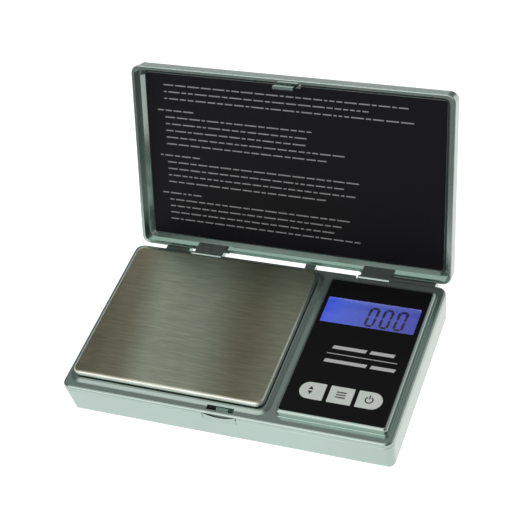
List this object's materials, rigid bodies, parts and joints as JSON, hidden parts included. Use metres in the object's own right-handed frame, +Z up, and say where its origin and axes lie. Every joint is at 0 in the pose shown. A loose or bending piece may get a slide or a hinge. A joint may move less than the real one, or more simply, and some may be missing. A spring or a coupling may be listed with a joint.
{
  "type": "digital_pocket_scale",
  "caption": "Pocket weighing scale with a brushed steel platform, a lit digital display with keys on a raised island, and a fold-over lid that latches at the front.",
  "frame": {"origin": "on the table, under the middle of the case, at the level of the rubber feet's undersides", "axes": "+X runs to the right along the case's long side and along the hinge, +Y runs from the latch to the hinge, +Z is up"},
  "size_m": [0.128, 0.1118, 0.0812],
  "materials": {
    "silver_case": "satin silver-green painted moulding",
    "stainless_steel": "brushed from left to right",
    "black_gloss": "smooth black printed sheet",
    "clear_window": "clear",
    "display_blue": "lit blue display",
    "light_guide": "lit from its edge",
    "key_grey": "pale grey",
    "black_plastic": "black moulding",
    "black_rubber": "soft",
    "plated_steel": "bright plating",
    "aluminium_bar": "milled",
    "gauge_film": "amber film",
    "wire_red": "insulated wire",
    "wire_white": "insulated wire",
    "green_board": "solder mask",
    "cell_wrap": "printed sleeve"
  },
  "bodies": {
    "case": {"lower_case": "silver_case", "upper_case": "silver_case", "battery_cells": "cell_wrap", "battery_contacts": "plated_steel", "battery_springs": "plated_steel", "battery_wires": "wire_red", "rubber_feet": "black_rubber", "case_screws": "plated_steel", "load_cell": "aluminium_bar", "load_cell_screws": "plated_steel", "strain_gauges": "gauge_film", "load_cell_wires": "wire_white", "circuit_board": "green_board", "board_chips": "black_plastic", "board_screws": "plated_steel", "tact_switches": "plated_steel", "display_backlight": "light_guide", "display_connector": "gauge_film", "display_glass": "display_blue", "display_overlay": "black_gloss", "display_window": "clear_window", "hinge_pins": "plated_steel"},
    "lid": {"lid_shell": "silver_case", "lid_label": "black_gloss"},
    "platform": {"weighing_platform": "stainless_steel", "platform_support": "black_plastic", "support_screws": "plated_steel"},
    "door": {"battery_door": "silver_case"},
    "left_key": {"key_left": "key_grey"},
    "middle_key": {"key_middle": "key_grey"},
    "right_key": {"key_right": "key_grey"},
    "catch": {"latch_button": "silver_case", "latch_spring": "plated_steel"}
  },
  "joints": [
    {"name": "lid_hinge", "type": "hinge", "parent": "case", "child": "lid", "pos_m": [0, 0.0379, 0.01305], "axis": [1, 0, 0], "range_deg": [0, 112.6]},
    {"name": "platform_slide", "type": "slide", "parent": "case", "child": "platform", "axis": [0, 0, -1], "range_m": [0, 0.0003], "stiffness_N_per_m": 6000, "springref_m": -0.0002, "deforming": ["load_cell"]},
    {"name": "latch_slide", "type": "slide", "parent": "case", "child": "catch", "axis": [0, 1, 0], "range_m": [0, 0.0006], "stiffness_N_per_m": 120, "springref_m": -0.005},
    {"name": "left_key_slide", "type": "slide", "parent": "case", "child": "left_key", "axis": [0, 0, -1], "range_m": [0, 0.0003], "stiffness_N_per_m": 80, "springref_m": -0.005},
    {"name": "middle_key_slide", "type": "slide", "parent": "case", "child": "middle_key", "axis": [0, 0, -1], "range_m": [0, 0.0003], "stiffness_N_per_m": 80, "springref_m": -0.005},
    {"name": "right_key_slide", "type": "slide", "parent": "case", "child": "right_key", "axis": [0, 0, -1], "range_m": [0, 0.0003], "stiffness_N_per_m": 80, "springref_m": -0.005},
    {"name": "door_slide", "type": "slide", "parent": "case", "child": "door", "axis": [0, 0, -1], "range_m": [0, 0.02]}
  ]
}
